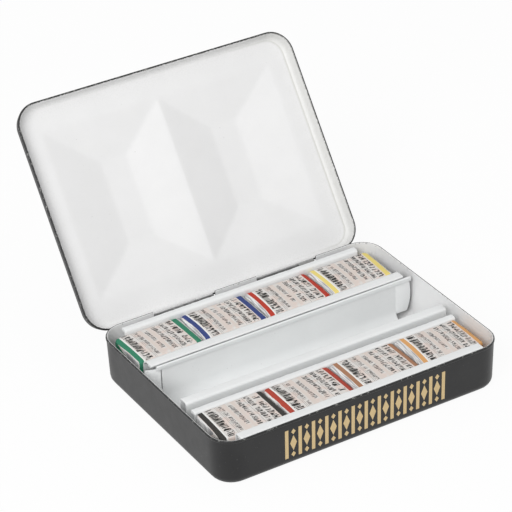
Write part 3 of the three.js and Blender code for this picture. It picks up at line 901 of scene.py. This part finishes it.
def open_lid(piece):
    """Turns a lid piece, made closed, to its open rest place"""
    hinge = Vector((0, HINGE_Y, HINGE_Z)) * MM
    turn = Matrix.Rotation(-OPEN_ANGLE, 4, "X")
    piece.data.transform(Matrix.Translation(hinge) @ turn @ Matrix.Translation(-hinge))
    piece.data.update()


def well(x, y):
    """How deep the two hipped wells are at a point, with softened creases"""
    brim = HALF_WIDTH - WELL_SIDE
    middle = brim / 2 - WELL_FLOOR_SHIFT
    inner_run = middle - WELL_FLOOR[0] / 2
    outer_run = brim - middle - WELL_FLOOR[0] / 2
    low, high = TIN_FRONT + WELL_FRONT, TIN_BACK - WELL_BACK
    end_run = (high - low - WELL_FLOOR[1]) / 2
    ramps = [abs(x) / inner_run, (brim - abs(x)) / outer_run, (y - low) / end_run, (high - y) / end_run, 1.0]
    share = -WELL_SOFT * math.log(sum(math.exp(-ramp / WELL_SOFT) for ramp in ramps))
    if share < WELL_END_SHARE:
        return 0.0
    return WELL_DEPTH * WELL_SOFT * math.log(1 + math.exp(share / WELL_SOFT))


def lid_wall(depth, height):
    """From the lid's plate out and down to near the rim, at some depth into the sheet"""
    radius = LID_EDGE - depth
    wall_top = LID_HEIGHT - LID_EDGE
    line = [(BEAD_PROUD + LID_DRAFT + depth + radius * (1 - s), LID_RIM + wall_top + radius * c)
            for s, c in quarter(ROUND_STEPS)]
    face = BEAD_PROUD + depth
    line.append((face + LID_DRAFT * RIM_WEAR / (wall_top - height), LID_RIM + height + RIM_WEAR))
    return line + [(face, LID_RIM + height)]


LID_TOP = LID_RIM + LID_HEIGHT
MEETING = RIM_STACK - RIM_ROUND - RIM_SEAM

black_line = (lid_wall(0.0, BEAD_HEIGHT) + bead(LID_RIM + HALF_BEAD, 1, ROUND_STEPS)
              + [(BEAD_PROUD, LID_RIM), (MEETING - SKIN_GAP, LID_RIM)]
              + lid_wall(HALF_SHEET - SKIN_GAP, BEAD_HEIGHT)[::-1])
black_sheet = drawn_sheet(LID_TOP, black_line, LID_TOP - HALF_SHEET + SKIN_GAP, LID_INSET, LID_STEP, well)
lid_outside = new_piece("lid_outside", black_sheet, BLACK, "lid", "lid_shell")
mark_rim(lid_outside, LID_RIM)
open_lid(lid_outside)

white_line = (lid_wall(SHEET, RIM_ROUND) + [(RIM_STACK - RIM_ROUND, LID_RIM), (MEETING + SKIN_GAP, LID_RIM)]
              + lid_wall(HALF_SHEET + SKIN_GAP, BEAD_HEIGHT)[::-1])
white_sheet = drawn_sheet(LID_TOP - SHEET, white_line, LID_TOP - HALF_SHEET - SKIN_GAP, LID_INSET, LID_STEP,
    well)
lid_inside = new_piece("lid_inside", white_sheet, LID_WHITE, "lid", "lid_shell")
mark_rim(lid_inside, LID_RIM)
mark_fold(lid_inside)
open_lid(lid_inside)


# Hinge knuckles: a tongue in the wall's plane, curled backwards round the pin

def curl_line(end_z):
    """From the wall at end_z to the pin's front, and round the pin"""
    side = 1 if end_z > HINGE_Z else -1
    line = [Vector((HINGE_Y - CURL_LINE, end_z)), Vector((HINGE_Y - CURL_LINE, HINGE_Z))]
    for i in range(1, CURL_STEPS + 1):
        angle = math.pi + side * i / CURL_STEPS * CURL_TURN
        line.append(Vector((HINGE_Y + CURL_LINE * math.cos(angle), HINGE_Z + CURL_LINE * math.sin(angle))))
    return line


def knuckle(name, start, length, end_z, material, body, node):
    sheet = folded_sheet(curl_line(end_z), (start, start + length))
    piece = new_piece(name, sheet, material, body, node)
    round_edges(piece)
    return piece


def dress(node, material):
    """Gives a node of the frame its material"""
    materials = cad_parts[node].data.materials
    materials.clear()
    materials.append(material)


CURLS = ((DARK_CURL, DARK_CURL), (GREY_CURL, GREY_END))
for side, centre, (long_curl, short_curl) in zip(("left", "right"), HINGE_CENTRES, CURLS):
    start = centre - NOTCH / 2 + KNUCKLE_GAP / 2
    open_lid(knuckle("lid_knuckle_" + side, start, LID_KNUCKLE, LID_RIM + HALF_BEAD, long_curl, "lid",
        "lid_shell"))
    start += LID_KNUCKLE + KNUCKLE_GAP
    knuckle("base_knuckle_" + side, start, BASE_KNUCKLE, NOTCH_FLOOR - KNUCKLE_ROOT, short_curl, "base",
        "base_tin")
    dress("hinge_pin_" + side, STEEL)


# Gold ornament on the front: a plain frieze of bars and lozenges, printed on the drafted wall

FRIEZE_HALF = 36.0
FRIEZE_LOW = 3.9
FRIEZE_HIGH = 17.0
FRIEZE_PITCH = 6.0
BAR_WIDTH = 1.5
LOZENGE_HALF = 1.5
LOZENGE_SHARE = 0.27
SMALL_LOZENGE = (1.0, 1.3)
PRINT_PROUD = 0.03


def wall_inset(z):
    """The front wall's inset from the tin's outline at a height"""
    wall_top = BASE_HEIGHT - BEAD_HEIGHT
    return BEAD_PROUD + DRAFT * (wall_top - max(z, FOOT)) / (wall_top - FOOT)


def frieze():
    vertices, faces = [], []

    def printed(points):
        add_prism(vertices, faces, *([(x, TIN_FRONT + wall_inset(z) - depth, z) for x, z in points]
                                     for depth in (0.0, PRINT_PROUD)))

    def lozenge(x, z, half_width, half_height):
        printed([(x, z - half_height), (x + half_width, z), (x, z + half_height), (x - half_width, z)])

    middle = (FRIEZE_LOW + FRIEZE_HIGH) / 2
    half_height = (FRIEZE_HIGH - FRIEZE_LOW) * LOZENGE_SHARE
    count = round(2 * FRIEZE_HALF / FRIEZE_PITCH)
    for i in range(count + 1):
        x = -FRIEZE_HALF + i * FRIEZE_PITCH
        left, right = x - BAR_WIDTH / 2, x + BAR_WIDTH / 2
        printed([(left, FRIEZE_LOW), (right, FRIEZE_LOW), (right, FRIEZE_HIGH), (left, FRIEZE_HIGH)])
        if i < count:
            x += FRIEZE_PITCH / 2
            lozenge(x, middle, LOZENGE_HALF, half_height)
            lozenge(x, FRIEZE_LOW + SMALL_LOZENGE[1], *SMALL_LOZENGE)
            lozenge(x, FRIEZE_HIGH - SMALL_LOZENGE[1], *SMALL_LOZENGE)
    return vertices, faces


new_piece("gold_frieze", frieze(), GOLD, "base")


# Insert: two flanged holders over folded shelves, and the brush channel between them

WELD = 0.1
STEP_X = 1.0

# Bends of the hems, as shares of their height, just under a half
HEM_BEND_SHARE = 0.49
LIP_BEND_SHARE = 0.499

# Waves of the hand-folded hems: how far and how many points they move, the slow and the fine one's noise as
# (scale, layer), and the fine one's shares across and up
WAVE = 0.12
WAVY_POINTS = 17
WAVE_PATTERNS = ((0.05, 0.3), (0.9, 7.1))
FINE_SHARE = 0.6
FINE_RISE_SHARE = 0.5


def rail_line(face, side, width, top, bend):
    """From the folded-under hem of a rail, over it, and down its wall to the foot"""
    edge = face + side * (width - HALF_SHEET)
    high, low = top - HALF_SHEET, top - HEM + HALF_SHEET
    root = edge - side * (HEM_WIDTH - HALF_SHEET)
    wall = face + side * HALF_SHEET
    fold = (high - low) * HEM_BEND_SHARE
    return bent_line([(root, low, 0), (edge, low, fold), (edge, high, fold), (wall, high, bend),
                      (wall, FOOT_LEVEL, 0)])


def wavy(seed):
    """Moves the first points of a hem's line by a slow wave and a finer one along X"""
    def shift(x, index):
        if index > WAVY_POINTS:
            return (0.0, 0.0)
        slow, fine = (noise.noise(Vector((x * scale, seed, layer))) for scale, layer in WAVE_PATTERNS)
        return (WAVE * (slow + FINE_SHARE * fine), WAVE * FINE_RISE_SHARE * fine)
    return shift


def holder_part(name, node, line, half, shift=None):
    steps = round(2 * half / STEP_X) if shift else 1
    sheet = folded_sheet(line, np.linspace(-half, half, steps + 1), shift=shift)
    round_edges(new_piece(name, sheet, FOLDED_WHITE, "insert", node), HOLDER_ROUND)


def holder(node, front, back):
    """Two rails and the shelf of one pan holder; a rail is (face, width, top, half length, bend)"""
    for end, side, (face, width, top, half, bend) in (("front", -1, front), ("back", 1, back)):
        line = rail_line(face, side, width, top, bend)
        holder_part(node + "_" + end + "_rail", node, line, half, wavy(face))
    legs = [front[0] + HALF_SHEET - WELD, back[0] - HALF_SHEET + WELD]
    shelf = bent_line([(legs[0], FOOT_LEVEL, 0), (legs[0], SHELF_LEVEL, SMALL_BEND),
                       (legs[1], SHELF_LEVEL, SMALL_BEND), (legs[1], FOOT_LEVEL, 0)])
    holder_part(node + "_shelf", node, shelf, min(front[3], back[3]))


holder("pan_holder_back", (BACK_ROW_FACE, WIDE_RAIL, RAIL_TOP, WIDE_RAIL_HALF, WIDE_BEND),
    (BACK_ROW_BACK, BACK_RAIL, RAIL_TOP, OUTER_RAIL_HALF, SMALL_BEND))
holder("pan_holder_front", (FRONT_ROW_FACE, FRONT_RAIL, RAIL_TOP, OUTER_RAIL_HALF, SMALL_BEND),
    (FRONT_ROW_BACK, ROW_RAIL, PAN_TOP, ROW_RAIL_HALF, SMALL_BEND))


LIP_FOOT = RAIL_TOP - HEM_DROP - LIP_FOLD - SHEET


def channel_line():
    """From the lip's hem down the back wall, over the floor and the ridge, and down to the front foot"""
    wall = BRUSH_BACK + HALF_SHEET
    lip = wall - (LIP_HEM - SHEET) - 2 * SKIN_GAP
    lip_top = RAIL_TOP - HEM_DROP - HALF_SHEET
    floor = FOOT_LEVEL + HALF_SHEET
    ridge_top = RAIL_TOP - RIDGE_DROP - HALF_SHEET
    ridge_in, ridge_out = RIDGE_BACK - HALF_SHEET, RIDGE_FRONT + HALF_SHEET
    fold = (wall - lip) * LIP_BEND_SHARE
    return bent_line([(lip, lip_top - LIP_FOLD, 0), (lip, lip_top, fold), (wall, lip_top, fold),
        (wall, LIP_FOOT, 0), (wall, floor, BRUSH_BEND), (ridge_in, floor, BRUSH_BEND),
        (ridge_in, ridge_top, SMALL_BEND), (ridge_out, ridge_top, SMALL_BEND),
        (ridge_out, WALL_SKIRT, 0), (ridge_out, floor, SMALL_BEND), (ridge_out - FOOT_FLANGE, floor, 0)])


def channel_ends(y, z):
    """Where the channel's sheet starts and stops along X, at a place along its fold"""
    middle = (RIDGE_BACK + BRUSH_BACK) / 2
    if y < middle and z > WALL_SKIRT:
        return -ROW_RAIL_HALF, ROW_RAIL_HALF
    if y > middle and z > LIP_FOOT:
        return -LIP_REACH[0], LIP_REACH[1]
    return -CHANNEL_WALL_HALF, CHANNEL_WALL_HALF


columns = sorted([-ROW_RAIL_HALF, -LIP_REACH[0], -CHANNEL_WALL_HALF, CHANNEL_WALL_HALF, ROW_RAIL_HALF,
                  LIP_REACH[1]])
channel = folded_sheet(channel_line(), columns, channel_ends)
round_edges(new_piece("brush_channel_sheet", channel, FOLDED_WHITE, "insert",
    "brush_channel"))


def spring_tab(side):
    """A tab beside the channel's back wall, with a bowed free edge; the left one is bent back, and a slit
    parts it from the wall"""
    root = CHANNEL_WALL_HALF - WELD
    top_x, bow_x, foot_x = TAB_REACH
    control_x = 2 * bow_x - (top_x + foot_x) / 2
    slit, angle = (TAB_SLIT, TAB_ANGLE) if side < 0 else (0.0, 0.0)
    points = [(root, TAB_FOOT), (foot_x, TAB_FOOT)]
    for i in range(1, BOW_STEPS + 1):
        t = i / BOW_STEPS
        x = (1 - t) ** 2 * foot_x + 2 * t * (1 - t) * control_x + t * t * top_x
        points.append((x, TAB_FOOT + (TAB_TOP - TAB_FOOT) * t))
    points += [(root + WELD + slit, TAB_TOP), (root + WELD + slit, SLIT_FOOT), (root, SLIT_FOOT - slit)]

    def turned(x, z, depth):
        u = x - root
        return (side * (root + u * math.cos(angle) - depth * math.sin(angle)),
                BRUSH_BACK + TAB_SET_BACK + u * math.sin(angle) + depth * math.cos(angle), z)

    vertices, faces = [], []
    add_prism(vertices, faces, *([turned(x, z, depth) for x, z in points] for depth in (0.0, SHEET)))
    return vertices, faces


for side, name in ((-1, "spring_tab_left"), (1, "spring_tab_right")):
    round_edges(new_piece(name, spring_tab(side), FOLDED_WHITE, "insert", "brush_channel"))


# Wrapped pans: paper round a tub, smooth on the label and crumpled at the ends

END_ROUND = 1.7
EDGE_ROUND = 1.0
LEAST_SIDE = 0.05
SAME_LEVEL = 1e-6
CROWN = 0.3
CROWN_FROM = 2.0
CRUMPLE = 0.26
CRUMPLE_REACH = 4.0

# Points across the top, down a side, under a half and along the paper, and steps round its edges
TOP_POINTS = 25
SIDE_POINTS = 8
UNDER_POINTS = 6
LENGTH_POINTS = 39
TOP_EDGE_STEPS = 4
FOOT_EDGE_STEPS = 3
END_STEPS = 7

# How much of the ends' rounding reaches the foot and the top, what slow creases add and sharp ones take off,
# how far the paper ripples, and how much of it all reaches the foot and the sides
END_FOOT_SHARE = 0.35
END_TOP_SHARE = 0.55
SLOW_SHARE = 1.2
SHARP_SHARE = 1.6
RIPPLE = 0.05
FOOT_BAND = 0.4
FOOT_SHARE = 0.35
SIDE_SHARE = 0.7
SIDE_MOST = 0.3

# The dished ends: their rings, and how deep they are dented by noise and dished
END_RING_SHARES = (0.86, 0.68, 0.45, 0.2)
DENT = 0.22
DISH = 0.12

# Noise on the paper: scales along X, Y and Z, and its layer; and the step from one wrapper to the next
SLOW_CREASES = (0.35, 0.22, 0.3, 0.0)
SHARP_CREASES = (0.9, 0.55, 0.6, 5.0)
RIPPLES = (0.5, 0.3, 0.0, 3.0)
DENTS = (0.0, 0.5, 0.7, 0.0)
WRAPPER_STEP = 13.7

# Where each label lies, in millimetres: its left and right edge from the pan's left end, how far these lean
# to the right at the back, and how far the left one bows to the right
LABEL_PLACES = (
    (0.1, 28.5, -0.6, -0.7, 0.2), (0.4, 28.5, -0.1, 0.0, 0.6), (0.9, 29.3, 0.8, 0.6, 0.5),
    (1.2, 28.7, 0.1, 1.3, 0.4), (0.3, 29.4, 0.9, 0.0, 0.1), (0.4, 29.5, 0.0, -0.6, 0.1),
    (1.4, 29.6, 0.2, -0.2, 0.1), (2.0, 29.7, 1.6, 0.2, 0.4),
)


def noise_at(place, seed, pattern):
    x, y, z = place
    scale_x, scale_y, scale_z, layer = pattern
    return noise.noise(Vector((x * scale_x + seed, y * scale_y, z * scale_z + layer)))


def wrap_section(inset_y, inset_z, top_inset):
    """Points round one section, as (y, z, distance from the label's middle line along the paper)"""
    half, low, high = PAN_DEPTH / 2 - inset_y, inset_z, PAN_HEIGHT - top_inset
    radius = min(EDGE_ROUND, (high - low) / 2 - LEAST_SIDE)
    flat = half - radius
    top = [(y, high) for y in np.linspace(-flat, flat, TOP_POINTS)]
    arc = [(flat + radius * s, high - radius + radius * c) for s, c in quarter(TOP_EDGE_STEPS)][1:]
    side = [(half, z) for z in np.linspace(high - radius, low + radius, SIDE_POINTS)][1:]
    foot = [(flat + radius * c, low + radius - radius * s) for s, c in quarter(FOOT_EDGE_STEPS)][1:]
    half_under = [(y, low) for y in np.linspace(flat, 0, UNDER_POINTS)][1:]
    right = arc + side + foot + half_under
    left = [(-y, z) for y, z in right[:-1]][::-1]
    return [(y, z, y + (0.0 if z > high - SAME_LEVEL else math.copysign(high - z, y)))
            for y, z in top + right + left]


def wrapper_mesh(number, centre_x, centre_y):
    """Rings along the paper and its dished ends, and each point's place on the label"""
    label_low, label_high, lean_left, lean_right, bow = LABEL_PLACES[number]
    half = PAN_LENGTH / 2
    stations = [(-half + END_ROUND * (1 - c), END_ROUND * (1 - s)) for s, c in quarter(END_STEPS)]
    stations += [(x, 0.0) for x in np.linspace(-half + END_ROUND, half - END_ROUND, LENGTH_POINTS)[1:-1]]
    stations += [(-x, inset) for x, inset in stations[:END_STEPS + 1][::-1]]
    vertices, faces, label, rings = [], [], [], []
    seed = number * WRAPPER_STEP
    for x, inset in stations:
        ring = []
        near = max(0.0, 1 - (half - abs(x)) / CRUMPLE_REACH)
        for y, z, around in wrap_section(inset, inset * END_FOOT_SHARE, inset * END_TOP_SHARE):
            on_top = max(0.0, min(1.0, (z - CROWN_FROM) / (PAN_HEIGHT - CROWN_FROM)))
            crown = CROWN * on_top * (1 - (y / (PAN_DEPTH / 2)) ** 2) * (1 - (x / half) ** 4)
            slow = noise_at((x, y, z), seed, SLOW_CREASES)
            sharp = abs(noise_at((x, y, z), seed, SHARP_CREASES))
            fold = CRUMPLE * near * near * (slow * SLOW_SHARE - sharp * SHARP_SHARE)
            ripple = RIPPLE * noise_at((x, y, z), seed, RIPPLES)
            pull = (fold + ripple) * (FOOT_SHARE if z < FOOT_BAND else 1.0)
            out_y = pull * y / (PAN_DEPTH / 2) * SIDE_SHARE
            out_y = min(abs(out_y), SIDE_MOST) * math.copysign(1, out_y)
            ring.append(len(vertices))
            vertices.append((centre_x + x, centre_y + y + out_y, PAN_BOTTOM + z + (pull + crown) * on_top))
            lean = (lean_left * (half - x) + lean_right * (half + x)) / PAN_LENGTH
            bowed = bow * (1 - (2 * y / PAN_DEPTH) ** 2) * (half - x) / PAN_LENGTH
            place = (x + half - label_low - lean * y / PAN_DEPTH - bowed) / (label_high - label_low)
            label.append((place * LABEL_WIDTH, around, 0.0))
        rings.append(ring)
    for ring, other in zip(rings, rings[1:]):
        join(faces, ring, other)
    for ring, side in ((rings[0], -1), (rings[-1], 1)):
        last = ring
        middle = Vector([sum(vertices[i][k] for i in ring) / len(ring) for k in range(3)])
        for share in END_RING_SHARES:
            inner = []
            for i in ring:
                point = middle + (Vector(vertices[i]) - middle) * share
                dent = DENT * abs(noise_at(point, seed, DENTS)) + DISH * (1 - share)
                inner.append(len(vertices))
                vertices.append((vertices[i][0] - side * dent, point.y, point.z))
                label.append((label[i][0], point.y - centre_y, 0.0))
            join(faces, last, inner)
            last = inner
        faces.append(last)
    return (vertices, faces), label


def wrapper(number, centre_x, centre_y):
    sheet, label = wrapper_mesh(number, centre_x, centre_y)
    pan = number + 1
    paper = printed_wrapper(f"printed_paper_{pan}", PAINTS[number][1], float(number))
    piece = new_piece(f"paper_wrapper_{pan}", sheet, paper, f"pan_{pan}", f"wrapper_{pan}",
        PAPER_SHARP_FROM)
    places = piece.data.attributes.new("label", "FLOAT_VECTOR", "POINT")
    places.data.foreach_set("vector", np.ravel(label))


ROWS = (((BACK_ROW_FACE + BACK_ROW_BACK) / 2, BACK_ROW_SHIFT),
        ((FRONT_ROW_FACE + FRONT_ROW_BACK) / 2, FRONT_ROW_SHIFT))
for row, (centre_y, row_shift) in enumerate(ROWS):
    for i in range(PANS_PER_ROW):
        number = row * PANS_PER_ROW + i
        centre_x = row_shift - ROW_LENGTH / 2 + PAN_LENGTH / 2 + i * (PAN_LENGTH + PAN_GAP)
        wrapper(number, centre_x, centre_y)
        dress(f"pan_tub_{number + 1}", TUB)
        dress(f"paint_cake_{number + 1}", dried_paint(*PAINTS[number]))
